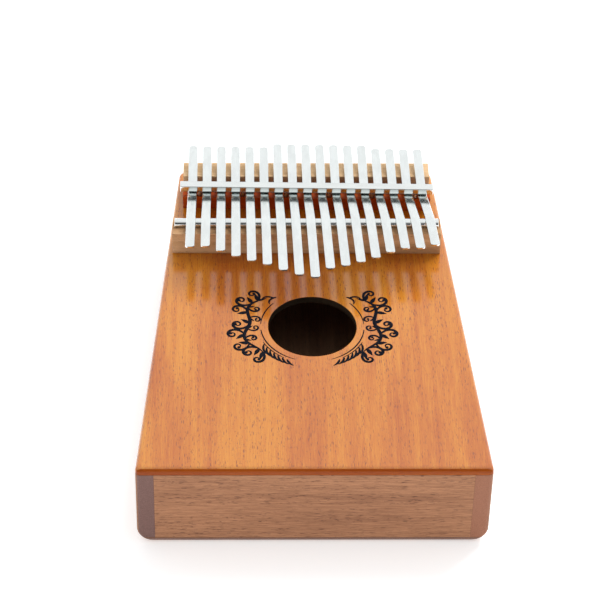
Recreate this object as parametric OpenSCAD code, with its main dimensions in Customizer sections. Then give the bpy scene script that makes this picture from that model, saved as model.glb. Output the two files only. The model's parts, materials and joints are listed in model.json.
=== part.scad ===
// Box mbira: a tapered wooden sound box that carries seventeen spring-steel tines.
// Origin: on the underside, in the middle of the outline. +Y runs from the player's end
// towards the tails of the tines, +X is to the player's right, +Z is up. Millimetres.

/* [Box] */
// Length of the box, player's end to rear
body_len = 179.6; // [175:0.2:190]
// Width of the box at the player's end
front_w = 135; // [131:1:139]
// Width of the box at the rear
rear_w = 107.2; // [104:0.2:110]
// Height of the box, without bridge and tines
body_h = 39.6; // [34:0.2:45]
// Thickness of the soundboard
soundboard_t = 3.2; // [2.6:0.1:4.2]
// Thickness of the back plate
back_t = 2.6; // [2:0.1:3.6]
// Thickness of the side and end rails
rail_t = 7; // [5:0.5:8]
// Radius of the two upright corners at the player's end
front_corner_r = 1.8; // [1:0.2:4]
// Radius of the two upright corners at the rear
rear_corner_r = 3.5; // [1:0.5:6]
// Radius of the two lower side edges, which lie in the hands
side_round = 6.4; // [4:0.2:6.8]

/* [Sound hole] */
// Diameter of the sound hole
hole_d = 35.2; // [30:0.2:40]
// Sideways place of the hole's centre
hole_x = 0.8; // [-2:0.1:2]
// Lengthwise place of the hole's centre
hole_y = -9.9; // [-17:0.1:-3]

/* [Front bridge] */
// Length of the front bridge, across the box
bridge_len = 110; // [104:1:111]
// Depth of the front bridge, front to rear
bridge_depth = 10.4; // [9:0.2:13]
// Height of the front bridge above the soundboard
bridge_h = 10.4; // [8:0.2:12]
// Front face of the bridge
bridge_front_y = 34.6; // [33.6:0.1:35.6]
// Sideways place of the bridge's middle
bridge_x = -0.6; // [-1:0.1:1]
// Diameter of the steel rod that the tines sound over
rod_d = 4; // [3.4:0.2:4.4]
// Length of that rod
rod_len = 108.2; // [104:0.2:109]
// Depth of the groove that the rod lies in
groove_depth = 1.2; // [0.8:0.1:1.5]
// Lengthwise place of the rod
rod_y = 40.7; // [40.1:0.1:41.3]

/* [Anchor block] */
// Length of the block and its ridge, across the box
block_len = 103.4; // [102:0.2:105]
// Front face of the block
block_front_y = 63.2; // [61.8:0.1:63.4]
// Height of the block's ledge above the soundboard
ledge_h = 6; // [4:0.2:6.4]
// Front edge of the ridge strip, which the tails rise over
ridge_front_y = 72.7; // [71.8:0.1:73.6]
// Depth of the ridge strip
ridge_depth = 9.4; // [7:0.2:10.4]
// Height of the ridge strip's top above the soundboard
ridge_h = 10; // [9.4:0.2:10.6]

/* [Press bar] */
// Length of the press bar
bar_len = 105.6; // [105:0.2:107]
// Width of the press bar, front to rear
bar_w = 3.8; // [3.4:0.1:4.2]
// Height of the press bar's flat upper part
bar_flat_h = 1.3; // [1:0.1:1.6]
// Lengthwise place of the press bar
bar_y = 64.8; // [64.6:0.1:65.3]
// Top of the press bar above the soundboard
bar_top_h = 11.2; // [10.8:0.1:11.6]
// Angle at which the bar and the block's front face stand askew, left end rearwards
bar_skew = 0.9; // [0:0.1:1.2]

/* [Press screws] */
// Number of screws that pull the bar down
screw_count = 6; // [2:2:6]
// Diameter of the screw shank
screw_d = 1.8; // [1.4:0.1:1.8]
// Diameter of the screw head
head_d = 3.8; // [3.2:0.1:4.2]
// Height of the screw head
head_h = 1.4; // [1:0.1:1.8]
// Diameter of the washer
washer_d = 5; // [4.4:0.1:5.4]
// Thickness of the washer
washer_t = 0.4; // [0.3:0.1:0.6]
// Width of the brace that the screws bear on
brace_w = 12; // [10:1:16]
// Height of that brace
brace_h = 6; // [4:0.5:8]

/* [Tines] */
// Width of a tine
tine_w = 3.8; // [3.4:0.1:4]
// Thickness of a tine
tine_t = 1; // [0.8:0.1:1.1]
// Distance between tines at the ridge
tine_pitch = 5.95; // [5.8:0.05:6.1]
// Lean of the first tine, seen from above, towards the player's left
first_lean = 0.7; // [0:0.1:2]
// Lean of the last tine towards the player's right
last_lean = 4.1; // [2:0.1:4.6]
// Rise of the playing part towards its tip
play_rise = 2; // [0:0.5:4]
// Playing length of the longest tine, from the rod to the tip
long_play = 38.6; // [34:0.2:42]
// Drop of the playing length with pitch: octaves raised to a length factor
pitch_power = 0.48; // [0.44:0.01:0.52]
// Radius of the corners at both ends of a tine
tip_r = 1.2; // [0.6:0.1:1.6]
// Rear end of the short tails
tail_end_y = 84.4; // [83:0.1:86]
// Further reach of the seven middle tails
long_tail_extra = 1.4; // [0:0.1:3]

/* [Hidden] */
TINES = 17;
MIDDLE = 9;
TINE_NAMES = [for (i = [1:TINES]) str(i < 10 ? "tine_0" : "tine_", i)];

$fn = 96;
EPS = 0.01;

// The box's outline: straight sides that draw in towards the rear
side_taper = (front_w - rear_w) / 2 / body_len;
side_angle = atan(side_taper);
rail_across = rail_t / cos(side_angle);
front_y = -body_len / 2;
rear_y = body_len / 2;
deck_z = body_h - soundboard_t;

// Heights that the tines' supports set
rod_z = body_h + bridge_h - groove_depth + rod_d / 2;
bar_round_z = body_h + bar_top_h - bar_flat_h;

// Clearances: a tine to the rod under it, to the bar over it, and to the ridge
rod_gap = 0.05;
bar_gap = 0.02;
ridge_gap = 0.08;
// Gap between the clamped root of a tine and its blade
split_gap = 0.1;
// Radius of a tine's upper face where the bar bends it down
bar_bend_r = 4.5;
// Radii of the tine's middle line at the rod and under the bar
rod_line_r = rod_d / 2 + rod_gap + tine_t / 2;
bar_line_r = bar_bend_r + tine_t / 2;

// Screw fit in wood, and in the bar's own thread
wood_clearance = 0.2;
thread_clearance = 0.02;
// Steel left above the blind screw holes in the bar
bar_cover = 0.6;
screw_top_z = body_h + bar_top_h - bar_cover;
brace_bottom_z = deck_z - brace_h;
// Cross slots in the screw heads
slot_w = 0.5;
slot_h = 0.6;
// How far a cutting shape stands out of what it cuts
MARGIN = 1;

// The scale, in semitones above the middle tine, in the order of rising pitch
major_scale = [0, 2, 4, 5, 7, 9, 11];
// Odd steps of the scale lie left of the middle tine, even steps right of it
function scale_step(i) = i < MIDDLE ? 2 * (MIDDLE - i) - 1 : 2 * (i - MIDDLE);
function semitones(step) = 12 * floor(step / 7) + major_scale[step % 7];
// How far each tine was slid forward of its computed place when it was tuned by ear
tuning_slide = [0.5, -1.5, -1, 0.5, 0.5, 0.5, 0.5, 0.5, 0, -1.5, -0.5, 0.5, 0, -1.5, -1.5, 0, 0];
function play_len(i) = long_play * pow(2, -pitch_power * semitones(scale_step(i)) / 12)
    + tuning_slide[i - 1];
// The middle tines, whose tails reach further
first_long = 7;
last_long = 13;
function tail_y(i) = tail_end_y + (i >= first_long && i <= last_long ? long_tail_extra : 0);

// Lean and sideways place of a tine; i may lie between two tines, for a screw
function lean(i) = -first_lean + (first_lean + last_lean) * (i - 1) / (TINES - 1);
function tine_x(i, y) = tine_pitch * (i - MIDDLE) + tan(lean(i)) * (ridge_front_y - y);
// The screws stand in gaps between tines, the outer two next to the outer tines
first_slot = 1.5;
last_slot = TINES - 0.5;
screw_step = (last_slot - first_slot) / (screw_count - 1);
screw_slots = [for (k = [0:screw_count - 1]) first_slot + screw_step * k];

// Where the askew bar crosses a tine
function bar_at(i) = bar_y - tan(bar_skew) * tine_x(i, bar_y);

function half_w(y) = front_w / 2 - (y - front_y) * side_taper;
function arc(centre, r, a0, a1, steps) =
    [for (k = [0:steps]) centre + r * [cos(a0 + (a1 - a0) * k / steps), sin(a0 + (a1 - a0) * k / steps)]];

module box_outline() {
    corner_steps = 8;
    y_rear = rear_y - rear_corner_r;
    y_front = front_y + front_corner_r;
    x_rear = half_w(y_rear) - rear_corner_r / cos(side_angle);
    x_front = half_w(y_front) - front_corner_r / cos(side_angle);
    polygon(concat(
        arc([x_rear, y_rear], rear_corner_r, side_angle, 90, corner_steps),
        arc([-x_rear, y_rear], rear_corner_r, 90, 180 - side_angle, corner_steps),
        arc([-x_front, y_front], front_corner_r, 180 - side_angle, 270, corner_steps),
        arc([x_front, y_front], front_corner_r, -90, side_angle, corner_steps)
    ));
}

// What is planed off a lower side edge to round it
module side_rounding(side) {
    slant_len = body_len / cos(side_angle);
    translate([side * half_w(front_y), front_y, 0])
    rotate([0, 0, side * side_angle])
    translate([0, slant_len + MARGIN, 0])
    rotate([90, 0, 0])
    linear_extrude(slant_len + 2 * MARGIN)
    difference() {
        translate([side > 0 ? -side_round : -MARGIN, -MARGIN])
            square(side_round + MARGIN);
        translate([-side * side_round, side_round]) circle(r = side_round);
    }
}

// The stretch of the box's inside between two places along its length
module between_rails(y0, y1) {
    x0 = half_w(y0) - rail_across;
    x1 = half_w(y1) - rail_across;
    polygon([[-x0, y0], [x0, y0], [x1, y1], [-x1, y1]]);
}

module screw_places() {
    for (slot = screw_slots) translate([tine_x(slot, bar_at(slot)), bar_at(slot), 0]) children();
}

module soundboard() {
    color("peru")
    difference() {
        translate([0, 0, deck_z]) linear_extrude(soundboard_t) box_outline();
        translate([hole_x, hole_y, deck_z - MARGIN]) cylinder(d = hole_d, h = soundboard_t + 2 * MARGIN);
        screw_places() translate([0, 0, deck_z - MARGIN])
            cylinder(d = screw_d + 2 * wood_clearance, h = soundboard_t + 2 * MARGIN);
    }
}

module back_plate() {
    color("sienna")
    difference() {
        linear_extrude(back_t) box_outline();
        side_rounding(-1);
        side_rounding(1);
    }
}

module side_rail(side) {
    color("saddlebrown")
    difference() {
        translate([0, 0, back_t]) linear_extrude(deck_z - back_t)
        intersection() {
            box_outline();
            polygon([
                [side * (half_w(front_y) - rail_across), front_y],
                [side * front_w, front_y],
                [side * front_w, rear_y],
                [side * (half_w(rear_y) - rail_across), rear_y]
            ]);
        }
        side_rounding(side);
    }
}

module left_rail() {
    side_rail(-1);
}

module right_rail() {
    side_rail(1);
}

module front_rail() {
    color("chocolate") translate([0, 0, back_t]) linear_extrude(deck_z - back_t)
        between_rails(front_y, front_y + rail_t);
}

module rear_rail() {
    color("chocolate") translate([0, 0, back_t]) linear_extrude(deck_z - back_t)
        between_rails(rear_y - rail_t, rear_y);
}

// Brace under the soundboard that takes the pull of the press screws
module screw_brace() {
    color("burlywood")
    difference() {
        translate([0, 0, brace_bottom_z]) linear_extrude(brace_h)
            between_rails(bar_y - brace_w / 2, bar_y + brace_w / 2);
        screw_places() translate([0, 0, brace_bottom_z - MARGIN])
            cylinder(d = screw_d + 2 * wood_clearance, h = brace_h + 2 * MARGIN);
    }
}

module front_bridge() {
    color("tan")
    difference() {
        translate([bridge_x - bridge_len / 2, bridge_front_y, body_h])
            cube([bridge_len, bridge_depth, bridge_h]);
        translate([bridge_x - bridge_len / 2 - MARGIN, rod_y, rod_z])
            rotate([0, 90, 0]) cylinder(d = rod_d + EPS, h = bridge_len + 2 * MARGIN);
    }
}

module saddle_rod() {
    color("silver")
    translate([bridge_x - rod_len / 2, rod_y, rod_z])
        rotate([0, 90, 0]) cylinder(d = rod_d, h = rod_len);
}

module anchor_block() {
    half_len = block_len / 2;
    block_rear_y = ridge_front_y + ridge_depth;
    lead = half_len * tan(bar_skew);
    color("sienna")
    difference() {
        translate([0, 0, body_h]) linear_extrude(ledge_h)
        polygon([
            [-half_len, block_front_y + lead],
            [half_len, block_front_y - lead],
            [half_len, block_rear_y],
            [-half_len, block_rear_y]
        ]);
        screw_places() translate([0, 0, body_h - MARGIN])
            cylinder(d = screw_d + 2 * wood_clearance, h = ledge_h + 2 * MARGIN);
    }
}

module ridge_strip() {
    color("wheat")
    translate([-block_len / 2, ridge_front_y, body_h + ledge_h])
        cube([block_len, ridge_depth, ridge_h - ledge_h]);
}

// Flat-topped bar whose half-round underside presses on the tines
module press_bar() {
    color("lightgray")
    difference() {
        translate([0, bar_y, bar_round_z])
        rotate([0, 0, -bar_skew])
        translate([-bar_len / 2, 0, 0])
        rotate([90, 0, 90])
        linear_extrude(bar_len)
        union() {
            circle(d = bar_w);
            translate([-bar_w / 2, 0]) square([bar_w, bar_flat_h]);
        }
        screw_places() translate([0, 0, body_h])
            cylinder(d = screw_d + 2 * thread_clearance, h = screw_top_z - body_h + thread_clearance);
    }
}

// Six screws from inside the box: head under the brace, shank up between the tines
module press_bar_screws() {
    head_top_z = brace_bottom_z - washer_t;
    head_bottom_z = head_top_z - head_h;
    color("gray")
    screw_places() difference() {
        union() {
            translate([0, 0, head_bottom_z]) cylinder(d = head_d, h = head_h);
            translate([0, 0, head_top_z - EPS]) cylinder(d = screw_d, h = screw_top_z - head_top_z + EPS);
        }
        for (turn = [0, 90]) rotate([0, 0, turn])
            translate([-head_d, -slot_w / 2, head_bottom_z - EPS]) cube([2 * head_d, slot_w, slot_h + EPS]);
    }
}

module screw_washers() {
    color("silver")
    screw_places() translate([0, 0, brace_bottom_z - washer_t]) difference() {
        cylinder(d = washer_d, h = washer_t);
        translate([0, 0, -MARGIN]) cylinder(d = screw_d + wood_clearance, h = washer_t + 2 * MARGIN);
    }
}

// A tine's side view lies in its own plane: x runs rearwards from the bar, y is height.
// A leaning tine crosses the rod and the ridge a little further from the bar.
function rod_centre(i) = [(rod_y - bar_at(i)) / cos(lean(i)), rod_z];
function bend_centre() = [0, bar_round_z - bar_w / 2 - bar_gap + bar_bend_r];
function ridge_edge(i) = [(ridge_front_y - bar_at(i)) / cos(lean(i)), body_h + ridge_h + ridge_gap];
function tail_reach(i) = (tail_y(i) - bar_at(i)) / cos(lean(i));

// Slope of the line that passes over the rod and under the bar
function neck_slope(i) =
    let (d = bend_centre() - rod_centre(i))
    atan2(d[1], d[0]) - asin((rod_line_r + bar_line_r) / norm(d));
// Slope of the line that leaves the bar's bend and passes over the ridge's front edge
function tail_slope(i) =
    let (d = bend_centre() - ridge_edge(i))
    atan2(d[1], d[0]) - 180 + asin((bar_line_r + tine_t / 2) / norm(d));

// Facets of a tine's bends over the rod and under the bar, and of its round corners
rod_steps = 4;
bar_steps = 10;
tip_steps = 6;

// One face of the clamped root: offset is half the thickness, positive for the upper face
function root_face(i, offset, x_rear) =
    let (
        up = neck_slope(i),
        tail = tail_slope(i),
        r_rod = rod_line_r + offset,
        r_bar = bar_line_r - offset,
        x_split = rod_centre(i)[0] + split_gap / 2,
        first = 90 - asin(split_gap / 2 / r_rod),
        leave = bend_centre() + r_bar * [sin(tail), -cos(tail)],
        end = [x_rear, leave[1] + (x_rear - leave[0]) * tan(tail)]
    )
    concat(
        arc(rod_centre(i), r_rod, first, 90 + up, rod_steps),
        arc(bend_centre(), r_bar, 270 + up, 270 + tail, bar_steps),
        [end]
    );

function reversed(list) = [for (k = [len(list) - 1:-1:0]) list[k]];

// Plan outline of a whole tine, with round corners at both ends, to trim its side view
module tine_plan(y0, y1) {
    half = tine_w / 2 - tip_r;
    polygon(concat(
        arc([half, y1 - tip_r], tip_r, 0, 90, tip_steps),
        arc([-half, y1 - tip_r], tip_r, 90, 180, tip_steps),
        arc([-half, y0 + tip_r], tip_r, 180, 270, tip_steps),
        arc([half, y0 + tip_r], tip_r, 270, 360, tip_steps)
    ));
}

// Stands a tine's side view up at its place and trims its ends
module placed_tine(i) {
    tip = rod_centre(i)[0] - play_len(i);
    translate([tine_x(i, bar_at(i)), bar_at(i), 0]) rotate([0, 0, lean(i)])
    intersection() {
        translate([-tine_w / 2, 0, 0]) rotate([90, 0, 90]) linear_extrude(tine_w) children();
        translate([0, 0, body_h]) linear_extrude(body_h) tine_plan(tip, tail_reach(i));
    }
}

// Clamped part of a tine: from the rod, under the bar and up over the ridge
module tine_root(i) {
    x_rear = tail_reach(i) + MARGIN;
    color("gainsboro") placed_tine(i)
        polygon(concat(root_face(i, tine_t / 2, x_rear), reversed(root_face(i, -tine_t / 2, x_rear))));
}

// Free part of a tine, which the thumb plucks
module tine_blade(i) {
    hinge = rod_centre(i) + [-split_gap / 2, rod_line_r];
    reach = play_len(i) + MARGIN;
    rise = reach * tan(play_rise);
    half_t = tine_t / 2;
    color("gainsboro") placed_tine(i)
        polygon([
            hinge + [0, half_t],
            hinge + [0, -half_t],
            hinge + [-reach, rise - half_t],
            hinge + [-reach, rise + half_t]
        ]);
}

soundboard();
back_plate();
left_rail();
right_rail();
front_rail();
rear_rail();
screw_brace();
front_bridge();
saddle_rod();
anchor_block();
ridge_strip();
press_bar();
press_bar_screws();
screw_washers();
for (i = [1:TINES]) tine_root(i);
for (i = [1:TINES]) tine_blade(i);
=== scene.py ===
"""Looks of the box mbira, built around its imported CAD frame.

The scene is in metres, with +Y towards the tails of the tines. Sizes of the object are in millimetres
until they go into a mesh."""

import json
import math

import bmesh
import bpy
from mathutils import Matrix, Vector


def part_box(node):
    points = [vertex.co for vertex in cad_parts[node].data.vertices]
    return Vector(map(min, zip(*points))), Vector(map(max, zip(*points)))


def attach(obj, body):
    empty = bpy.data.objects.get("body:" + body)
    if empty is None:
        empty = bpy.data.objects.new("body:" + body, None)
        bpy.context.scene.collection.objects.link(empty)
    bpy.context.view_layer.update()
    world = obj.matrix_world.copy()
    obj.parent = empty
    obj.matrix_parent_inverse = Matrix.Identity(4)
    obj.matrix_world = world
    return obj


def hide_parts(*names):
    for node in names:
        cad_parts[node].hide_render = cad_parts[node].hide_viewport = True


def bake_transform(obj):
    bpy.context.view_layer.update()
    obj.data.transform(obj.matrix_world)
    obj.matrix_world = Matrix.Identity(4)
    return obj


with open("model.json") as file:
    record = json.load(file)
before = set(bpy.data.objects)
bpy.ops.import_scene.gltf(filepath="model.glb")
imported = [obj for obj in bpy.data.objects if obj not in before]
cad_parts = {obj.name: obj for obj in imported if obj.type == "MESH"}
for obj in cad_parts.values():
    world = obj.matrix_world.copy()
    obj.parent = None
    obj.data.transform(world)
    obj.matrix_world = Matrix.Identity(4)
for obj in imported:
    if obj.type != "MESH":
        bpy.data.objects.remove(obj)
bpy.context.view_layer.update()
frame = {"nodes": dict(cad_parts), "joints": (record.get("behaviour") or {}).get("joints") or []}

MM = 0.001
BOX = "box"
TINES = 17
UP = Vector((0, 0, 1))


# ---------------------------------------------------------------- camera, lights and floor

def add_camera():
    """A long lens looking down on the player's end, level but for a slight tilt."""
    place = Vector((-0.0305, -0.7477, 0.7062))
    pitch_down = math.radians(41.48)
    turn_right = math.radians(2.03)
    tilt = math.radians(1.41)
    data = bpy.data.cameras.new("camera")
    data.lens = 150
    data.sensor_width = 36
    data.clip_start = 0.01
    data.clip_end = 50
    camera = bpy.data.objects.new("camera", data)
    bpy.context.scene.collection.objects.link(camera)
    camera.matrix_world = (
        Matrix.Translation(place)
        @ Matrix.Rotation(-turn_right, 4, "Z")
        @ Matrix.Rotation(math.pi / 2 - pitch_down, 4, "X")
        @ Matrix.Rotation(tilt, 4, "Z")
    )
    bpy.context.scene.camera = camera
    bpy.context.scene.view_settings.view_transform = "Standard"


def add_softbox(name, place, target, width, height, watts):
    data = bpy.data.lights.new(name, "AREA")
    data.shape = "RECTANGLE"
    data.size = width
    data.size_y = height
    data.energy = watts
    light = bpy.data.objects.new(name, data)
    bpy.context.scene.collection.objects.link(light)
    light.location = place
    light.rotation_euler = (Vector(target) - Vector(place)).to_track_quat("-Z", "Y").to_euler()
    light.visible_camera = False
    light.visible_glossy = False


def add_world():
    """A white studio whose brightness fades by direction, from overhead and the rear to the player's side."""
    height_share = 1.1
    dim_at, bright_at = -0.25, 0.78
    dim, bright = 0.06, 1.0
    world = bpy.data.worlds.new("studio")
    bpy.context.scene.world = world
    world.use_nodes = True
    tree = world.node_tree
    direction = tree.nodes.new("ShaderNodeTexCoord")
    split = tree.nodes.new("ShaderNodeSeparateXYZ")
    lift = tree.nodes.new("ShaderNodeMath")
    lift.operation = "MULTIPLY_ADD"
    lift.inputs[1].default_value = height_share
    fade = tree.nodes.new("ShaderNodeMapRange")
    for socket, value in zip(fade.inputs[1:5], (dim_at, bright_at, dim, bright)):
        socket.default_value = value
    tree.links.new(direction.outputs["Generated"], split.inputs[0])
    tree.links.new(split.outputs["Z"], lift.inputs[0])
    tree.links.new(split.outputs["Y"], lift.inputs[2])
    tree.links.new(lift.outputs[0], fade.inputs[0])
    tree.links.new(fade.outputs[0], tree.nodes["Background"].inputs["Strength"])
    tree.nodes["Background"].inputs["Color"].default_value = (1.0, 1.0, 1.0, 1)


def add_lights():
    """A small key light high at the rear right, a wide soft one behind it and a low fill at the front."""
    middle = (0, 0, 0.02)
    add_softbox("rear_softbox", (0.0, 1.5, 1.3), middle, 3.2, 1.8, 4)
    add_softbox("key_softbox", (0.55, 0.88, 1.24), middle, 0.8, 0.8, 22)
    add_softbox("front_fill", (0.0, -1.4, 0.45), middle, 1.6, 0.8, 5)


def add_floor():
    """A pale floor that glows a little, just below the object so that it isn't level with the back plate."""
    half, drop = 6.0, 0.0003
    floor_mesh = bpy.data.meshes.new("floor")
    floor_mesh.from_pydata(
        [(-half, -half, 0), (half, -half, 0), (half, half, 0), (-half, half, 0)], [], [(0, 1, 2, 3)]
    )
    floor_mesh.transform(Matrix.Translation((0, 0, -drop)))
    floor = bpy.data.objects.new("floor", floor_mesh)
    bpy.context.scene.collection.objects.link(floor)
    paint = bpy.data.materials.new("pale_floor")
    paint.use_nodes = True
    shader = paint.node_tree.nodes["Principled BSDF"]
    shader.inputs["Base Color"].default_value = (0.80, 0.805, 0.81, 1)
    shader.inputs["Roughness"].default_value = 0.85
    shader.inputs["Specular IOR Level"].default_value = 0.1
    shader.inputs["Emission Color"].default_value = (1.0, 1.0, 1.0, 1)
    shader.inputs["Emission Strength"].default_value = 0.46
    floor_mesh.materials.append(paint)


# ---------------------------------------------------------------- material building blocks

class Paint:
    """A material's node tree, with short calls for the nodes used here."""

    def __init__(self, name):
        self.material = bpy.data.materials.new(name)
        self.material.use_nodes = True
        self.tree = self.material.node_tree
        self.shader = self.tree.nodes["Principled BSDF"]
        self.coords = self.tree.nodes.new("ShaderNodeTexCoord")

    def put(self, socket, value):
        """Links a socket to another, or sets its value; a colour may be given without its alpha."""
        if isinstance(value, bpy.types.NodeSocket):
            self.tree.links.new(value, socket)
        elif isinstance(value, (tuple, list)) and len(value) == 3 and socket.type == "RGBA":
            socket.default_value = (*value, 1)
        else:
            socket.default_value = value

    def node(self, kind, out=0, settings=None, **inputs):
        """A new node's output; inputs are given by name, or as i0, i1 and so on by their place."""
        made = self.tree.nodes.new(kind)
        for key, value in (settings or {}).items():
            setattr(made, key, value)
        for key, value in inputs.items():
            socket = made.inputs[int(key[1:])] if key[0] == "i" and key[1:].isdigit() else made.inputs[key]
            self.put(socket, value)
        return made.outputs[out]

    def stretched(self, across, along, axis="Y", shift=0.0):
        """Object coordinates in millimetres, scaled by across and, along the grain, by along."""
        scale = [1000 * across] * 3
        scale["XYZ".index(axis)] = 1000 * along
        return self.node("ShaderNodeMapping", Vector=self.coords.outputs["Object"],
                         Scale=scale, Location=(shift, shift * 0.7, shift * 1.3))

    def noise(self, vector, detail=3.0, roughness=0.5, distortion=0.0):
        return self.node("ShaderNodeTexNoise", Vector=vector, Scale=1.0, Detail=detail,
                         Roughness=roughness, Distortion=distortion)

    def math(self, operation, a, b=0.0):
        return self.node("ShaderNodeMath", settings={"operation": operation}, i0=a, i1=b)

    def step(self, value, low, high, to_low=0.0, to_high=1.0):
        """A smooth ramp of value from low to high."""
        return self.node("ShaderNodeMapRange", settings={"interpolation_type": "SMOOTHSTEP"},
                         i0=value, i1=low, i2=high, i3=to_low, i4=to_high)

    def mix(self, factor, a, b, blend="MIX"):
        return self.node("ShaderNodeMix", out=2, settings={"data_type": "RGBA", "blend_type": blend},
                         i0=factor, i6=a, i7=b)

    def ramp(self, value, stops):
        """The colour at value between stops, each a (position, colour)."""
        made = self.tree.nodes.new("ShaderNodeValToRGB")
        elements = made.color_ramp.elements
        while len(elements) < len(stops):
            elements.new(0.5)
        for element, (position, colour) in zip(elements, stops):
            element.position = position
            element.color = (*colour, 1)
        self.put(made.inputs["Fac"], value)
        return made.outputs["Color"]

    def bump(self, height, depth_mm):
        return self.node("ShaderNodeBump", Height=height, Distance=depth_mm * MM, Strength=1.0)

    def finish(self, colour, roughness, normal, **fixed):
        """The material, with fixed values for further sockets, named with _ for each space."""
        self.put(self.shader.inputs["Base Color"], colour)
        self.put(self.shader.inputs["Roughness"], roughness)
        self.put(self.shader.inputs["Normal"], normal)
        for key, value in fixed.items():
            self.shader.inputs[key.replace("_", " ")].default_value = value
        return self.material


def wood(name, dark, middle, light, axis="Y", pore=(0.05, 0.02, 0.01), pore_share=0.5, end=None,
         top_tint_and_painted_shade=None, fine=1.0, figure=(0.5, 0.3, 0.2), pore_depth=0.6, roughness=(0.42, 0.6),
         depth_mm=0.05, shift=0.0, **finish):
    """Solid wood with its grain along axis: broad streaks, growth lines, fibres and short dark pores.

    figure is the share of each of the first three in the colour. pore_share of the cells hold a pore, and
    pore_depth is how strongly it shows. end colours the end grain, and top_tint_and_painted_shade multiplies the colour of
    faces that look up. fine above 1 makes fibres and pores smaller. shift gives each board its own grain."""
    dark_at, middle_at, light_at = 0.39, 0.5, 0.61
    p = Paint(name)
    streaks = p.noise(p.stretched(0.07, 0.009, axis, shift), detail=3, distortion=0.5)
    lines = p.noise(p.stretched(0.5, 0.008, axis, shift + 5), detail=4, roughness=0.6, distortion=0.3)
    fibres = p.noise(p.stretched(3.4 * fine, 0.12, axis, shift + 9), detail=3, roughness=0.65)
    tone = p.math("ADD", p.math("MULTIPLY", streaks, figure[0]),
                  p.math("ADD", p.math("MULTIPLY", lines, figure[1]), p.math("MULTIPLY", fibres, figure[2])))
    colour = p.ramp(tone, [(dark_at, dark), (middle_at, middle), (light_at, light)])

    cells = p.tree.nodes.new("ShaderNodeTexVoronoi")
    p.put(cells.inputs["Vector"], p.stretched(1.5 * fine, 0.2 * fine, axis, shift + 3))
    cells.inputs["Scale"].default_value = 1.0
    chosen = p.math("LESS_THAN", p.node("ShaderNodeSeparateColor", Color=cells.outputs["Color"]), pore_share)
    pores = p.math("MULTIPLY", p.step(cells.outputs["Distance"], 0.30, 0.12), chosen)
    spots = p.noise(p.stretched(2.6 * fine, 0.45 * fine, axis, shift + 13), detail=2, roughness=0.7)
    flecks = p.step(spots, 0.58, 0.72)
    rows = p.step(lines, 0.62, 0.42, 0.35 * pore_depth, pore_depth)
    pores = p.math("MULTIPLY", p.math("MAXIMUM", pores, flecks), rows)
    colour = p.mix(pores, colour, pore)

    if end is not None:
        facing = p.node("ShaderNodeSeparateXYZ", out="XYZ".index(axis), Vector=p.coords.outputs["Normal"])
        end_share = p.step(p.math("ABSOLUTE", facing), 0.6, 0.9)
        specks = p.mix(p.step(fibres, 0.4, 0.62), tuple(0.72 * c for c in end), end)
        colour = p.mix(end_share, colour, specks)

    # Faces that look up are multiplied by this tint; on the bridge it is painted shade that darkens the top
    # against the light from above.
    if top_tint_and_painted_shade is not None:
        upward = p.node("ShaderNodeSeparateXYZ", out=2, Vector=p.coords.outputs["Normal"])
        colour = p.mix(p.step(upward, 0.7, 0.95), colour, top_tint_and_painted_shade, "MULTIPLY")

    relief = p.math("SUBTRACT", p.math("MULTIPLY", fibres, 0.35), pores)
    rough = p.step(tone, 0.35, 0.65, roughness[1], roughness[0])
    return p.finish(colour, rough, p.bump(relief, depth_mm), **finish)


def steel(name, colour, axis, roughness, depth_mm):
    """Bright steel with fine grinding lines along axis and a little cloudiness."""
    p = Paint(name)
    scratches = p.noise(p.stretched(5.0, 0.02, axis), detail=3, roughness=0.7)
    clouds = p.noise(p.stretched(0.35, 0.12, axis, 4), detail=3)
    tint = p.mix(p.step(clouds, 0.35, 0.65), tuple(0.94 * c for c in colour), colour)
    worn = p.math("ADD", p.math("MULTIPLY", scratches, 0.8), p.math("MULTIPLY", clouds, 0.2))
    rough = p.step(worn, 0.35, 0.65, roughness[0], roughness[1])
    return p.finish(tint, rough, p.bump(scratches, depth_mm), Metallic=1.0)


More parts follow.
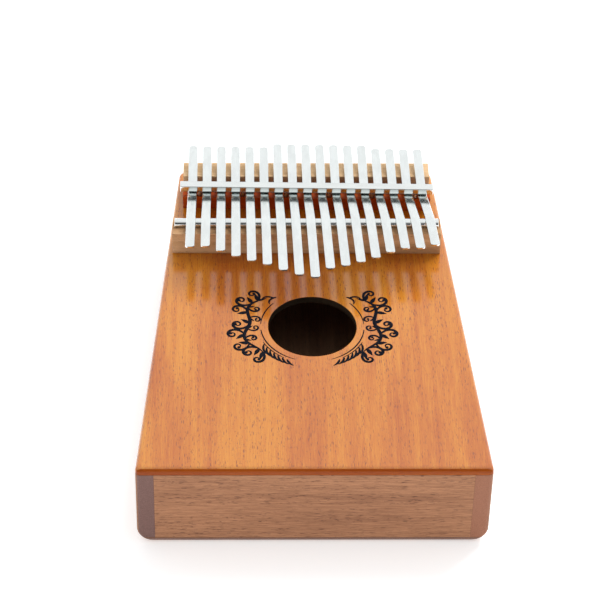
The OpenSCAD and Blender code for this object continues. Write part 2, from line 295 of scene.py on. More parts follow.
def make_materials():
    return {
        "soundboard_mahogany": wood(
            "soundboard_mahogany", (0.395, 0.086, 0.004), (0.50, 0.146, 0.006), (0.59, 0.218, 0.012),
            pore=(0.11, 0.018, 0.010), pore_share=0.72, fine=1.1, figure=(0.44, 0.22, 0.34), pore_depth=0.85,
            roughness=(0.4, 0.55), Specular_IOR_Level=0.1,
            Coat_Weight=1.0, Coat_Roughness=0.15, Coat_IOR=1.76),
        "soundboard_edge": wood(
            "soundboard_edge", (0.29, 0.05, 0.003), (0.35, 0.072, 0.004), (0.42, 0.10, 0.006), axis="X",
            pore=(0.2, 0.03, 0.004), figure=(0.38, 0.37, 0.25), shift=7, Specular_IOR_Level=0.05,
            Coat_Weight=0.3, Coat_Roughness=0.12, Coat_IOR=1.5),
        # The sound hole's wall is painted near black: painted shade standing in for the dark inside of the
        # box.
        "hole_wall_painted_shade": wood(
            "hole_wall_painted_shade", (0.02, 0.014, 0.009), (0.03, 0.02, 0.012), (0.045, 0.03, 0.018),
            pore=(0.01, 0.007, 0.005), Specular_IOR_Level=0.1),
        "back_mahogany": wood(
            "back_mahogany", (0.23, 0.075, 0.02), (0.33, 0.115, 0.03), (0.42, 0.16, 0.045),
            pore=(0.10, 0.03, 0.012), end=(0.24, 0.11, 0.07), top_tint_and_painted_shade=(0.95, 1.5, 3.2), shift=31,
            Coat_Weight=0.35, Coat_Roughness=0.25),
        # The rails' end grain is painted as lit and shaded copies: the left end darker and purplish as
        # painted shade, the right end lighter as painted light from the right.
        "left_rail_mahogany": side_rail_wood_with_painted_end_light("left_rail_mahogany", (0.235, 0.124, 0.104), 17),
        "right_rail_mahogany": side_rail_wood_with_painted_end_light("right_rail_mahogany", (0.40, 0.163, 0.09), 19),
        "end_rail_mahogany": wood(
            "end_rail_mahogany", (0.29, 0.127, 0.066), (0.40, 0.181, 0.09), (0.51, 0.24, 0.12), axis="X",
            pore=(0.10, 0.038, 0.026), pore_share=0.85, pore_depth=0.85, shift=23, fine=0.95,
            figure=(0.26, 0.16, 0.58), Specular_IOR_Level=0.2),
        "block_mahogany": wood(
            "block_mahogany", (0.34, 0.045, 0.005), (0.44, 0.066, 0.008), (0.54, 0.10, 0.013), axis="X",
            pore=(0.11, 0.025, 0.008), end=(0.28, 0.06, 0.012), shift=41,
            Specular_IOR_Level=0.02, Coat_Weight=0.15, Coat_Roughness=0.15),
        "bridge_wood": wood(
            "bridge_wood", (0.45, 0.235, 0.11), (0.65, 0.38, 0.19), (0.80, 0.52, 0.30), axis="X",
            pore=(0.16, 0.075, 0.035), pore_share=0.65, end=(0.40, 0.22, 0.11),
            # The grey multiplier on the top faces is painted shade, darkening the bridge's top against the
            # light from above.
            top_tint_and_painted_shade=(0.72, 0.72, 0.72), shift=53, fine=1.5,
            roughness=(0.6, 0.8), depth_mm=0.09, Specular_IOR_Level=0.2),
        "plain_wood": wood(
            "plain_wood", (0.46, 0.28, 0.135), (0.62, 0.41, 0.22), (0.74, 0.52, 0.31), axis="X",
            pore=(0.28, 0.16, 0.08), pore_share=0.4, end=(0.42, 0.28, 0.15), shift=67, fine=1.6,
            roughness=(0.55, 0.75), depth_mm=0.06),
        "polished_steel": steel(
            "polished_steel", (0.84, 0.875, 0.865), axis="X", roughness=(0.10, 0.15), depth_mm=0.0003),
        "tine_steel": steel(
            "tine_steel", (0.86, 0.905, 0.90), axis="Y", roughness=(0.13, 0.18), depth_mm=0.0002),
        "screw_steel": steel(
            "screw_steel", (0.60, 0.61, 0.63), axis="Z", roughness=(0.25, 0.4), depth_mm=0.0006),
        "scroll_ink": scroll_ink(),
    }


def side_rail_wood_with_painted_end_light(name, end, shift):
    # end is the end grain's colour; the left rail's darker purplish end is painted shade and the right rail's
    # lighter end is painted light.
    return wood(name, (0.26, 0.11, 0.049), (0.34, 0.148, 0.07), (0.41, 0.183, 0.087), pore_depth=0.8,
                pore=(0.17, 0.065, 0.04), end=end, shift=shift, fine=1.3, figure=(0.28, 0.2, 0.52),
                Specular_IOR_Level=0.25)


def scroll_ink():
    """Blue-black stain, slightly uneven where the grain took it up."""
    p = Paint("scroll_ink")
    uneven = p.noise(p.stretched(2.2, 0.4), detail=3)
    colour = p.mix(p.step(uneven, 0.35, 0.7), (0.003, 0.004, 0.008), (0.012, 0.012, 0.017))
    rough = p.step(uneven, 0.3, 0.7, 0.6, 0.8)
    return p.finish(colour, rough, p.bump(uneven, 0.01), Specular_IOR_Level=0.06)


# ---------------------------------------------------------------- mesh helpers

def new_piece(name, mesh, material):
    piece = bpy.data.objects.new(name, mesh)
    bpy.context.scene.collection.objects.link(piece)
    mesh.materials.clear()
    mesh.materials.append(material)
    return piece


def cad_mesh(node):
    """The CAD node's mesh in the scene's own frame, with its flat faces whole again."""
    source = frame["nodes"][node]
    bm = bmesh.new()
    bm.from_mesh(source.data)
    bm.transform(source.matrix_world)
    bmesh.ops.remove_doubles(bm, verts=bm.verts, dist=2e-6)
    bmesh.ops.dissolve_limit(bm, angle_limit=math.radians(0.6), verts=bm.verts, edges=bm.edges)
    return bm


def eased(node, name, material, radius, segments):
    """The CAD node with its sharp edges rounded to a radius in mm."""
    sharp = math.radians(35)
    bm = cad_mesh(node)
    weight = bm.edges.layers.float.get("bevel_weight_edge") or bm.edges.layers.float.new("bevel_weight_edge")
    for edge in bm.edges:
        if len(edge.link_faces) == 2 and edge.calc_face_angle(0) > sharp:
            edge[weight] = 1.0
    mesh = bpy.data.meshes.new(name)
    bm.to_mesh(mesh)
    bm.free()
    mesh.shade_smooth()
    piece = new_piece(name, mesh, material)
    bevel = piece.modifiers.new("eased_edges", "BEVEL")
    bevel.limit_method = "WEIGHT"
    bevel.width = radius * MM
    bevel.segments = segments
    bevel.use_clamp_overlap = True
    flat = piece.modifiers.new("flat_faces", "WEIGHTED_NORMAL")
    flat.keep_sharp = True
    bake_modifiers(piece)
    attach(piece, BOX)
    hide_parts(node)


def bake_modifiers(piece):
    """Gives the piece the mesh that its modifiers make, and takes them off."""
    bpy.context.view_layer.update()
    shaped = piece.evaluated_get(bpy.context.evaluated_depsgraph_get())
    mesh = bpy.data.meshes.new_from_object(shaped)
    piece.modifiers.clear()
    piece.data = mesh


def ring_mesh(name, rings, loop=False):
    """A mesh skinned over rings; with loop, the last ring joins the first, else the ends are capped."""
    bm = bmesh.new()
    made = [[bm.verts.new(Vector(point) * MM) for point in ring] for ring in rings]
    count = len(rings[0])
    pairs = list(zip(made, made[1:])) + ([(made[-1], made[0])] if loop else [])
    for before, after in pairs:
        for k in range(count):
            bm.faces.new((before[k], before[(k + 1) % count], after[(k + 1) % count], after[k]))
    if not loop:
        bm.faces.new(made[0])
        bm.faces.new(made[-1])
    bmesh.ops.recalc_face_normals(bm, faces=bm.faces)
    mesh = bpy.data.meshes.new(name)
    bm.to_mesh(mesh)
    bm.free()
    return mesh


def swept(name, rings, material):
    """A smooth bar skinned over rings of points, with capped ends."""
    mesh = ring_mesh(name, rings)
    mesh.shade_smooth()
    mesh.set_sharp_from_angle(angle=math.radians(40))
    return new_piece(name, mesh, material)


def flat_faces_smooth_edges(piece):
    """Shades the roundings smooth and keeps the big faces flat."""
    piece.data.shade_smooth()
    weighted = piece.modifiers.new("flat_faces", "WEIGHTED_NORMAL")
    weighted.keep_sharp = True
    piece.data.set_sharp_from_angle(angle=math.radians(30))
    bake_modifiers(piece)


def quarter_turn(steps):
    """Cosine and sine at even steps over a quarter turn."""
    return [(math.cos(a), math.sin(a)) for a in (math.pi / 2 * k / steps for k in range(steps + 1))]


# ---------------------------------------------------------------- sizes read from the frame

def box_mm(node):
    """The lowest and highest corner of a CAD node, in mm."""
    low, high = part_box(node)
    return Vector(low) / MM, Vector(high) / MM


board_low, board_high = box_mm("soundboard")
BACK_TOP = box_mm("back_plate")[1].z
DECK = board_high.z
rod_low, rod_high = box_mm("saddle_rod")
ROD_R = (rod_high.z - rod_low.z) / 2
ROD_Y, ROD_Z = (rod_low.y + rod_high.y) / 2, (rod_low.z + rod_high.z) / 2
bar_low, bar_high = box_mm("press_bar")
BAR_MIDDLE = (bar_low + bar_high) / 2
ridge_low, ridge_high = box_mm("ridge_strip")


def middle_y(points):
    return (min(p.y for p in points) + max(p.y for p in points)) / 2


def read_bar():
    """The press bar's directions along and across, its half length and its half width."""
    end_strip = 0.5
    points = [v.co / MM for v in frame["nodes"]["press_bar"].data.vertices]
    left = [p for p in points if p.x < bar_low.x + end_strip]
    right = [p for p in points if p.x > bar_high.x - end_strip]
    slope = (middle_y(right) - middle_y(left)) / (bar_high.x - bar_low.x)
    along = Vector((1, slope, 0)).normalized()
    side = Vector((-along.y, along.x, 0))
    spread = [(p - BAR_MIDDLE).dot(side) for p in points]
    reach = [(p - BAR_MIDDLE).dot(along) for p in points]
    return along, side, max(reach), max(spread)


BAR_ALONG, BAR_SIDE, BAR_REACH, BAR_HALF = read_bar()


# ---------------------------------------------------------------- the wooden box

# Corner radii seen from above, and the rounding of the lower edges
FRONT_R, REAR_R = 1.8, 3.5
SIDE_ROUND, END_ROUND = 6.4, 2.0
# Growth of the corner radii per mm that the lower side edges are drawn in
CORNER_GROWTH = 0.25
RAIL_T = 7.0
# The slightest rounding of a wooden edge
WOOD_EASE = 0.12


def read_outline():
    """The slant of the box's sides and its widest point, from the ends of the soundboard's straight sides."""
    same = 0.01
    points = [v.co / MM for v in frame["nodes"]["soundboard"].data.vertices]
    front = max(p.x for p in points if p.y < board_low.y + FRONT_R * 1.5)
    rear = max(p.x for p in points if abs(p.y - board_high.y) < REAR_R * 1.2)
    front_y = max(p.y for p in points if abs(p.x - front) < same)
    rear_y = min(p.y for p in points if abs(p.x - rear) < same)
    return (front - rear) / (rear_y - front_y), front, front_y


SLANT, WIDE_X, WIDE_Y = read_outline()
SIDE_ANGLE = math.atan(SLANT)


def half_width(y):
    return WIDE_X + (WIDE_Y - y) * SLANT


def outline(side_in=0.0, end_in=0.0, side_points=0, extra_r=0.0):
    """The box's outline, drawn in by side_in at the sides and end_in at the ends, counter-clockwise.

    Each side is cut into side_points parts, if that isn't 0. extra_r widens the corner radii."""
    corner_steps = 10
    front_r, rear_r = FRONT_R + extra_r, REAR_R + extra_r
    y0, y1 = board_low.y + end_in + front_r, board_high.y - end_in - rear_r
    x0 = half_width(y0) - (side_in + front_r) / math.cos(SIDE_ANGLE)
    x1 = half_width(y1) - (side_in + rear_r) / math.cos(SIDE_ANGLE)
    quarter, slant = math.pi / 2, SIDE_ANGLE
    corners = [((x0, y0), front_r, -quarter, slant), ((x1, y1), rear_r, slant, quarter),
               ((-x1, y1), rear_r, quarter, 2 * quarter - slant),
               ((-x0, y0), front_r, 2 * quarter - slant, 3 * quarter)]
    points = []
    for number, ((x, y), r, a0, a1) in enumerate(corners):
        arc = [(x + r * math.cos(a0 + (a1 - a0) * k / corner_steps),
                y + r * math.sin(a0 + (a1 - a0) * k / corner_steps)) for k in range(corner_steps + 1)]
        points += arc
        if side_points:
            (next_x, next_y), next_r, next_start, _ = corners[(number + 1) % 4]
            end_x, end_y = arc[-1]
            step_x = next_x + next_r * math.cos(next_start) - end_x
            step_y = next_y + next_r * math.sin(next_start) - end_y
            shares = [k / side_points for k in range(1, side_points)]
            points += [(end_x + step_x * t, end_y + step_y * t) for t in shares]
    return points


def rounded(z, r):
    """How far a rounded lower edge of radius r is drawn in at height z."""
    return r - math.sqrt(max(0.0, r * r - max(0.0, r - z) ** 2))


def box_section(z, tuck=0.0, end_in=0.0):
    """The outline at height z, where the lower side edges are rounded, drawn in further by tuck."""
    side_in = rounded(z, SIDE_ROUND)
    return outline(side_in + tuck, end_in + tuck, extra_r=CORNER_GROWTH * side_in)


def soundboard_rings(hole_x, hole_y, hole_r):
    """Rings from the underside round the outer edge, over the top and down the hole's wall."""
    edge_r, under_r, lip_r, lower_lip, side_points = 2.0, 0.3, 0.2, 0.2, 44
    turn = quarter_turn(9)
    bearings = [math.atan2(y - hole_y, x - hole_x) for x, y in outline(side_points=side_points)]

    def edge_ring(inset, z):
        return [(x, y, z) for x, y in outline(inset, inset, side_points=side_points)]

    def hole_ring(r, z):
        return [(hole_x + r * math.cos(a), hole_y + r * math.sin(a), z) for a in bearings]

    rings = [edge_ring(under_r * (1 - s), board_low.z + under_r * (1 - c)) for c, s in turn]
    rings += [edge_ring(edge_r * (1 - c), board_high.z - edge_r * (1 - s)) for c, s in turn]
    rings += [hole_ring(hole_r + lip_r * (1 - s), board_high.z - lip_r * (1 - c)) for c, s in turn]
    rings.append(hole_ring(hole_r, board_low.z + lower_lip))
    rings.append(hole_ring(hole_r + lower_lip, board_low.z))
    return rings


def build_soundboard(paint):
    """The board, with materials of their own on its front and rear edges and on the hole's wall, whose
    near-black colour is painted shade for the dark inside of the box.
    """
    wall_reach, end_facing, top_facing = 0.05, 0.6, 0.93
    hole_x, hole_y, hole_r = hole_circle()
    mesh = ring_mesh("soundboard_panel", soundboard_rings(hole_x, hole_y, hole_r), loop=True)
    board = new_piece("soundboard_panel", mesh, paint["soundboard_mahogany"])
    flat_faces_smooth_edges(board)
    board.data.materials.append(paint["soundboard_edge"])
    board.data.materials.append(paint["hole_wall_painted_shade"])
    for face in board.data.polygons:
        centre = face.center / MM
        # Faces at the hole's wall get the near-black painted shade.
        if math.hypot(centre.x - hole_x, centre.y - hole_y) < hole_r + wall_reach:
            face.material_index = 2
        elif abs(face.normal.y) > end_facing and face.normal.z < top_facing:
            face.material_index = 1
    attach(board, BOX)
    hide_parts("soundboard")


def hole_circle():
    """Middle and radius of the sound hole, from the soundboard's points away from its edges and screws."""
    reach_x, reach_y = 30, 50
    points = [v.co / MM for v in frame["nodes"]["soundboard"].data.vertices]
    inner = [p for p in points if abs(p.x) < reach_x and abs(p.y) < reach_y]
    low_x, high_x = min(p.x for p in inner), max(p.x for p in inner)
    low_y, high_y = min(p.y for p in inner), max(p.y for p in inner)
    return (low_x + high_x) / 2, (low_y + high_y) / 2, (high_x - low_x) / 2


def build_back_plate(paint):
    rings = []
    for cosine, _ in quarter_turn(8):
        z = (BACK_TOP - WOOD_EASE) * (1 - cosine)
        rings.append([(x, y, z) for x, y in box_section(z, end_in=rounded(z, END_ROUND))])
    rings.append([(x, y, BACK_TOP) for x, y in box_section(BACK_TOP, tuck=WOOD_EASE)])
    plate = new_piece("back_plate_panel", ring_mesh("back_plate_panel", rings), paint["back_mahogany"])
    flat_faces_smooth_edges(plate)
    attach(plate, BOX)
    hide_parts("back_plate")


def build_side_rail(side, name, paint):
    """Stacked sections between back plate and soundboard; the lowest ones follow the rounded side edge."""
    low, high = (corner.z for corner in box_mm(f"{name}_rail"))
    inner = RAIL_T / math.cos(SIDE_ANGLE)
    hair = 0.05
    eased_low, round_steps = low + WOOD_EASE, 5
    heights = [low, eased_low]
    heights += [eased_low + (SIDE_ROUND - eased_low) * k / round_steps for k in range(1, round_steps + 1)]
    heights += [low + (high - low) * t for t in (0.4, 0.6, 0.8)] + [high - WOOD_EASE, high]
    rings = []
    for z in heights:
        tuck = WOOD_EASE if z in (low, high) else 0.0
        right_half = [(x, y) for x, y in box_section(z, tuck) if x > 0]
        y0, y1 = right_half[0][1], right_half[-1][1]
        section = [(half_width(y0) - inner + tuck, y0)]
        section += [q for q in right_half if q[0] > half_width(q[1]) - inner + hair]
        section += [(half_width(y1) - inner + tuck, y1)]
        rings.append([(side * x, y, z) for x, y in section])
    mesh = ring_mesh(f"{name}_side_rail", rings)
    rail = new_piece(f"{name}_side_rail", mesh, paint[f"{name}_rail_mahogany"])
    flat_faces_smooth_edges(rail)
    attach(rail, BOX)
    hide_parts(f"{name}_rail")


def build_box(paint):
    build_soundboard(paint)
    build_back_plate(paint)
    build_side_rail(-1, "left", paint)
    build_side_rail(1, "right", paint)
    for end in ("front", "rear"):
        eased(f"{end}_rail", f"{end}_end_rail", paint["end_rail_mahogany"], WOOD_EASE, 2)
    eased("screw_brace", "brace_under_soundboard", paint["plain_wood"], 0.25, 2)


def build_bridge_and_block(paint):
    eased("front_bridge", "bridge_bar", paint["bridge_wood"], 0.35, 3)
    eased("anchor_block", "tine_anchor_block", paint["block_mahogany"], 0.3, 3)
    eased("ridge_strip", "light_ridge_strip", paint["plain_wood"], 0.3, 3)


# ---------------------------------------------------------------- rod, bar and screws

def bar_stations(low, high, ease):
    """Places along a bar, with its section's shrinkage, so that both ends are rounded off."""
    inner_steps = 12
    start = [(low + ease * (1 - c), ease * (1 - s)) for c, s in quarter_turn(4)]
    inner = [(low + ease + (high - low - 2 * ease) * k / inner_steps, 0.0) for k in range(1, inner_steps)]
    finish = [(low + high - x, shrink) for x, shrink in reversed(start)]
    return start + inner + finish


def build_rod(paint):
    ease, sides = 0.35, 48
    rings = []
    for x, shrink in bar_stations(rod_low.x, rod_high.x, ease):
        r = ROD_R - shrink
        rings.append([
            (x, ROD_Y + r * math.cos(a), ROD_Z + r * math.sin(a))
            for a in (2 * math.pi * k / sides for k in range(sides))
        ])
    rod = swept("steel_saddle_rod", rings, paint["polished_steel"])
    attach(rod, BOX)
    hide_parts("saddle_rod")


def build_press_bar(paint):
    """Flat top with eased edges, upright sides and a half-round underside."""
    ease, round_steps, corner_steps = 0.3, 20, 4
    round_z = bar_low.z + BAR_HALF

    def section(shrink):
        half = BAR_HALF - shrink
        top = bar_high.z - shrink
        points = []
        for k in range(round_steps + 1):
            a = math.pi + math.pi * k / round_steps
            points.append((half * math.cos(a), round_z + half * math.sin(a)))
        for side in (1, -1):
            for k in range(corner_steps + 1):
                a = math.pi / 2 * k / corner_steps
                a = a if side > 0 else math.pi / 2 + a
                points.append((side * (half - ease) + ease * math.cos(a), top - ease + ease * math.sin(a)))
        return points

    flat = Vector((BAR_MIDDLE.x, BAR_MIDDLE.y, 0))
    rings = [[flat + BAR_ALONG * x + BAR_SIDE * y + UP * z for y, z in section(shrink)]
             for x, shrink in bar_stations(-BAR_REACH, BAR_REACH, ease)]
    bar = swept("steel_press_bar", rings, paint["polished_steel"])
    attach(bar, BOX)
    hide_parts("press_bar")


def build_screws(paint):
    eased("press_bar_screws", "press_bar_screw_set", paint["screw_steel"], 0.12, 2)
    eased("screw_washers", "screw_washer_set", paint["screw_steel"], 0.08, 2)


# ---------------------------------------------------------------- tines

# A tine's section and the radius of its end corners
TINE_W, TINE_T, TIP_R = 3.8, 1.0, 1.2
TINE_EDGE_R = 0.3
PLAY_RISE = math.radians(2)
# Air under the tine at the rod, at the bar and at the ridge's front edge, and half the CAD split at the rod
ROD_GAP, BAR_GAP, RIDGE_GAP = 0.05, 0.02, 0.08
HALF_SPLIT = 0.05
# Inner radius of the bend round the press bar
BEND_R = 4.5
# Distances from a tine's end at which its rounded end is cut
END_STATIONS = [0.0, 0.08, 0.2, 0.36, 0.56, 0.8, TIP_R]
# How thin the very end is, as a share of the thickness, and how far from the end it is full
END_THIN, END_FULL = 0.62, 0.36


def tine_facts(number):
    """A tine's name, hinge, crosswise direction and lean, and the Y of its tip and of its tail's end."""
    name = f"tine_{number:02d}"
    joint = next(j for j in frame["joints"] if j["name"] == f"{name}_flex")
    hinge = Vector(joint["pos_m"]) / MM
    across = Vector(joint["axis"]).normalized()
    lean = math.atan2(across.y, across.x)
    tip_y = box_mm(f"{name}_blade")[0].y
    tail_y = box_mm(f"{name}_root")[1].y
    return name, hinge, across, lean, tip_y, tail_y


def end_reach(distance, lean):
    """How far a rounded end's middle is from the hinge, if its outermost point is distance away along Y."""
    corner = TINE_W / 2 - TIP_R
    return (distance - TIP_R - corner * abs(math.sin(lean))) / math.cos(lean) + TIP_R


def side_profile(rod_x, ridge_x, tip, tail):
    """The middle line of a tine from tip to tail, as (distance from the bar, height, slope) in mm.

    It wraps the rod, dips under the press bar and rises over the ridge's front edge."""
    play_steps, rod_steps, neck_steps, bend_steps, tail_steps = 12, 5, 8, 12, 8
    rod = Vector((rod_x, ROD_Z))
    rod_r = ROD_R + ROD_GAP + TINE_T / 2
    bend_r = BEND_R + TINE_T / 2
    bend = Vector((0, bar_low.z - BAR_GAP + BEND_R))
    edge = Vector((ridge_x, ridge_high.z + RIDGE_GAP))
    to_bend = bend - rod
    neck = math.atan2(to_bend.y, to_bend.x) - math.asin((rod_r + bend_r) / to_bend.length)
    from_edge = bend - edge
    lift_off = math.asin((bend_r + TINE_T / 2) / from_edge.length)
    leave = math.atan2(from_edge.y, from_edge.x) - math.pi + lift_off

    def on_rod(angle):
        return Vector((rod.x - rod_r * math.sin(angle), rod.y + rod_r * math.cos(angle)))

    def on_bend(angle):
        return Vector((bend.x + bend_r * math.sin(angle), bend.y - bend_r * math.cos(angle)))

    points = []
    top = on_rod(-PLAY_RISE)
    reach = top.x - tip
    spots = END_STATIONS + [TIP_R + (reach - TIP_R) * k / play_steps for k in range(1, play_steps)]
    for spot in spots:
        points.append((tip + spot, top.y + (reach - spot) * math.tan(PLAY_RISE), -PLAY_RISE))
    for k in range(rod_steps + 1):
        angle = -PLAY_RISE + (neck + PLAY_RISE) * k / rod_steps
        points.append((*on_rod(angle), angle))
    for k in range(1, neck_steps):
        points.append((*on_rod(neck).lerp(on_bend(neck), k / neck_steps), neck))
    for k in range(bend_steps + 1):
        angle = neck + (leave - neck) * k / bend_steps
        points.append((*on_bend(angle), angle))
    last = on_bend(leave)
    tail_xs = [last.x + (tail - TIP_R - last.x) * k / tail_steps for k in range(1, tail_steps + 1)]
    tail_xs += [tail - left for left in reversed(END_STATIONS[:-1])]
    points += [(x, last.y + (x - last.x) * math.tan(leave), leave) for x in tail_xs]
    return points


def tine_section(half_w, half_t):
    """Round-edged strip section as (across, up) points, with one in the middle of each flat face."""
    r = min(TINE_EDGE_R, half_t * 0.7, half_w * 0.5)
    steps = 4
    points = []
    for sx, sz, start in ((1, 1, 0), (-1, 1, 90), (-1, -1, 180), (1, -1, 270)):
        for k in range(steps + 1):
            a = math.radians(start + 90 * k / steps)
            points.append((sx * (half_w - r) + r * math.cos(a), sz * (half_t - r) + r * math.sin(a)))
        if start == 0:
            points.append((0, half_t))
        if start == 180:
            points.append((0, -half_t))
    return points


def build_tine(number, paint):
    name, hinge, across, lean, tip_y, tail_y = tine_facts(number)
    rear = Vector((-math.sin(lean), math.cos(lean), 0))
    tip_reach = end_reach(hinge.y - tip_y, lean)
    tail_reach = end_reach(tail_y - hinge.y, lean)
    to_bar = BAR_MIDDLE - hinge
    bar_distance = to_bar.dot(BAR_SIDE) / rear.dot(BAR_SIDE)
    origin = Vector((hinge.x, hinge.y, 0)) + rear * bar_distance
    ridge_x = (ridge_low.y - origin.y) / math.cos(lean)
    tip, tail = -bar_distance - tip_reach, tail_reach - bar_distance
    rings = []
    for x, z, slope in side_profile(HALF_SPLIT - bar_distance, ridge_x, tip, tail):
        end_gap = min(x - tip, tail - x)
        inset = max(0.0, TIP_R - end_gap)
        half_w = TINE_W / 2 - TIP_R + math.sqrt(max(0.0, TIP_R ** 2 - inset ** 2))
        half_t = TINE_T / 2 * (END_THIN + (1 - END_THIN) * math.sqrt(min(1.0, end_gap / END_FULL)))
        normal = (UP * math.cos(slope) - rear * math.sin(slope))
        middle = origin + rear * x + UP * z
        rings.append([middle + across * u + normal * v for u, v in tine_section(half_w, half_t)])
    tine = swept(f"{name}_steel_strip", rings, paint["tine_steel"])
    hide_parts(f"{name}_root", f"{name}_blade")
    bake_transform(tine)


# ---------------------------------------------------------------- scrollwork round the sound hole

def volute(start, heading, length, curl, tighten, steps=40):
    """A line that turns ever tighter: curl is its first curvature per mm, tighten its growth."""
    x, y = start
    angle = math.radians(heading)
    points = [(x, y)]
    for k in range(steps):
        t = (k + 0.5) / steps
        angle += curl * (1 + tighten * t * t) * length / steps
        x += math.cos(angle) * length / steps
        y += math.sin(angle) * length / steps
        points.append((x, y))
    return points


class Inlay:
    """Flat stained shapes, a few hundredths of a millimetre proud of the soundboard."""
    PROUD, SUNK = 0.03, 0.05
    HAIR, LEVELS = 0.0004, 40

    def __init__(self, centre):
        self.bm = bmesh.new()
        self.centre = centre
        self.count = 0

    def next_top(self):
        """The height of the next shape, a hair off the last ones so that crossing shapes aren't level."""
        self.count += 1
        return DECK + self.PROUD + self.HAIR * (self.count % self.LEVELS)

    def corner(self, x, y, z):
        return self.bm.verts.new(Vector((self.centre[0] + x, self.centre[1] + y, z)) * MM)

    def slab(self, edge):
        """A flat shape inside an edge of points."""
        top = self.next_top()
        low = [self.corner(x, y, DECK - self.SUNK) for x, y in edge]
        high = [self.corner(x, y, top) for x, y in edge]
        self.bm.faces.new(high)
        self.bm.faces.new(list(reversed(low)))
        for k in range(len(edge)):
            n = (k + 1) % len(edge)
            self.bm.faces.new((low[k], low[n], high[n], high[k]))

    def stroke(self, points, widths):
        """A ribbon along points, whose width at each share of its length is widths(share)."""
        top, bottom = self.next_top(), DECK - self.SUNK
        rings = []
        for k, (x, y) in enumerate(points):
            ahead, behind = points[min(k + 1, len(points) - 1)], points[max(k - 1, 0)]
            d = Vector((ahead[0] - behind[0], ahead[1] - behind[1])).normalized()
            w = widths(k / (len(points) - 1)) / 2
            left, right = (x - d.y * w, y + d.x * w), (x + d.y * w, y - d.x * w)
            ring = [(*left, bottom), (*left, top), (*right, top), (*right, bottom)]
            rings.append([self.corner(*point) for point in ring])
        for before, after in zip(rings, rings[1:]):
            for k in range(4):
                self.bm.faces.new((before[k], before[(k + 1) % 4], after[(k + 1) % 4], after[k]))
        self.bm.faces.new(list(reversed(rings[0])))
        self.bm.faces.new(rings[-1])

    def dot(self, x, y, r):
        sides = 14
        turns = [2 * math.pi * k / sides for k in range(sides)]
        self.slab([(x + r * math.cos(a), y + r * math.sin(a)) for a in turns])

    def leaf(self, x, y, heading, length, width):
        """A pointed drop from its stem outward."""
        a = math.radians(heading)
        ahead, side = Vector((math.cos(a), math.sin(a))), Vector((-math.sin(a), math.cos(a)))
        steps = 8

        def edge_point(k, hand):
            t = k / steps
            bulge = side * width / 2 * math.sin(math.pi * t ** 0.7)
            return Vector((x, y)) + ahead * length * t + bulge * hand

        edge = [edge_point(k, 1) for k in range(steps + 1)]
        edge += [edge_point(k, -1) for k in range(steps - 1, 0, -1)]
        self.slab([(p.x, p.y) for p in edge])

    def piece(self, name, material):
        bmesh.ops.recalc_face_normals(self.bm, faces=self.bm.faces)
        mesh = bpy.data.meshes.new(name)
        self.bm.to_mesh(mesh)
        self.bm.free()
        return new_piece(name, mesh, material)


def ring_point(r, degrees):
    return r * math.cos(math.radians(degrees)), r * math.sin(math.radians(degrees))


def ring_arc(r, a0, a1):
    steps = 44
    return [ring_point(r, a0 + (a1 - a0) * k / steps) for k in range(steps + 1)]


def swelling(thick, thin):
    """Line width along a pen stroke, thickest a little past its start."""
    return lambda t: thin + (thick - thin) * math.sin(math.pi * min(1.0, 0.12 + 0.88 * t)) ** 0.8


# Ends of the scrollwork's stem, in degrees round the hole
STEM_START, STEM_END = 145, 217
# Curls off the stem: place in degrees, hand of the curl, heading off the outward direction, length, thickness
OUTER_CURLS = [(150, 1, 74, 16, 1.25), (162, -1, -66, 14, 1.15), (176, 1, 78, 17, 1.3),
               (190, -1, -76, 15.5, 1.25), (202, 1, 62, 14, 1.15), (212, -1, -72, 16, 1.25)]
INNER_CURLS = [(156, 1, 124, 10, 1.0), (169, -1, -126, 9, 0.9),
               (183, 1, 126, 9, 0.9), (196, -1, -124, 10, 1.0)]


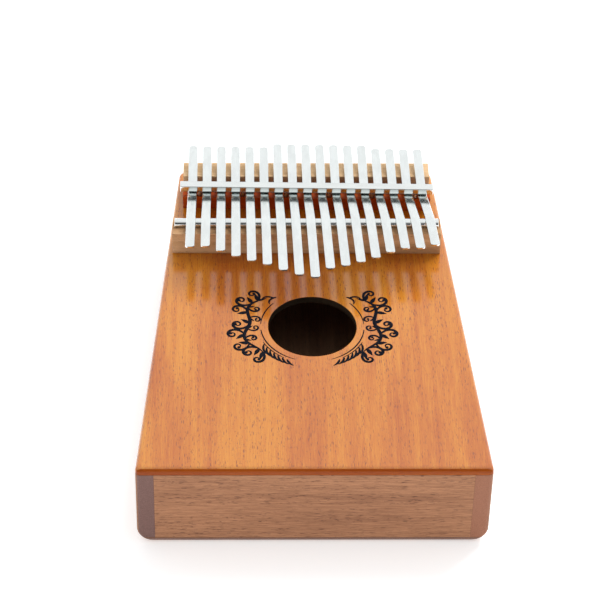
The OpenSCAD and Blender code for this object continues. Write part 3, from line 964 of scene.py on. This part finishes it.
def draw_scrolls(inlay, hole_r, mirrored):
    """One half of the scrollwork: stem, curls with their leaves, arcs round the hole and barbs."""
    stem_r, wave = hole_r + 8.8, 1.5

    def stem_point(place):
        return ring_point(stem_r + wave * math.sin(math.radians(9 * (place - STEM_START))), place)

    def flip(point):
        return (-point[0], point[1]) if mirrored else point

    def turned(heading):
        return 180 - heading if mirrored else heading

    def leaf(x, y, heading, length, width):
        inlay.leaf(*flip((x, y)), turned(heading), length, width)

    def curl(x, y, heading, length, curl_per_mm, tighten, thick, berry):
        line = volute((x, y), heading, length, curl_per_mm, tighten)
        inlay.stroke([flip(q) for q in line], swelling(thick, 0.32))
        inlay.dot(*flip(line[-1]), berry)

    stem_steps = (STEM_END - STEM_START) // 2
    inlay.stroke([flip(stem_point(STEM_START + 2 * k)) for k in range(stem_steps + 1)], swelling(1.5, 0.4))
    for place, hand, off, length, thick in OUTER_CURLS:
        x, y = stem_point(place)
        curl(x, y, place + off, length, -hand * 0.19, 5.2, thick, 0.7)
        leaf(x, y, place - hand * 30, 4.4, 1.8)
    for place, hand, off, length, thick in INNER_CURLS:
        x, y = stem_point(place)
        curl(x, y, place + off, length, hand * 0.26, 5.2, thick, 0.55)
        leaf(x, y, place + 180 + hand * 34, 2.8, 1.0)
    for place, hand in ((STEM_START, 1), (STEM_END, -1)):
        x, y = stem_point(place)
        curl(x, y, place - hand * 84, 13, hand * 0.16, 7.0, 1.2, 0.6)
        leaf(x, y, place - hand * 40, 5.0, 1.6)
        leaf(x, y, place - hand * 120, 4.0, 1.2)
    for r, a0, a1, thick in ((1.17, 138, 177, 0.55), (1.17, 186, 250, 0.6), (1.235, 206, 238, 0.45)):
        inlay.stroke([flip(q) for q in ring_arc(r * hole_r, a0, a1)], swelling(thick, 0.2))
    for k in range(7):
        x, y = ring_point(1.25 * hole_r, 209 + 5.5 * k)
        barb = volute((x, y), 209 + 5.5 * k + 38, 6.6 - 0.35 * k, 0.16, 1.0, steps=12)
        inlay.stroke([flip(q) for q in barb], swelling(1.0, 0.2))
    for place, off in ((129, 60), (132, 5)):
        x, y = ring_point(1.27 * hole_r, place)
        barb = volute((x, y), place + off, 6.0, 0.2, 2.0, steps=12)
        inlay.stroke([flip(q) for q in barb], swelling(0.9, 0.2))


def build_scrollwork(paint):
    """Generic leafy scrolls on both sides of the sound hole, mirror images of each other."""
    hole_x, hole_y, hole_r = hole_circle()
    inlay = Inlay((hole_x, hole_y))
    draw_scrolls(inlay, hole_r, mirrored=False)
    draw_scrolls(inlay, hole_r, mirrored=True)
    ornament = inlay.piece("sound_hole_scrollwork", paint["scroll_ink"])
    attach(ornament, BOX)


# ---------------------------------------------------------------- everything

add_camera()
add_world()
add_lights()
add_floor()
paints = make_materials()
build_box(paints)
build_bridge_and_block(paints)
build_rod(paints)
build_press_bar(paints)
build_screws(paints)
for tine_number in range(1, TINES + 1):
    build_tine(tine_number, paints)
build_scrollwork(paints)
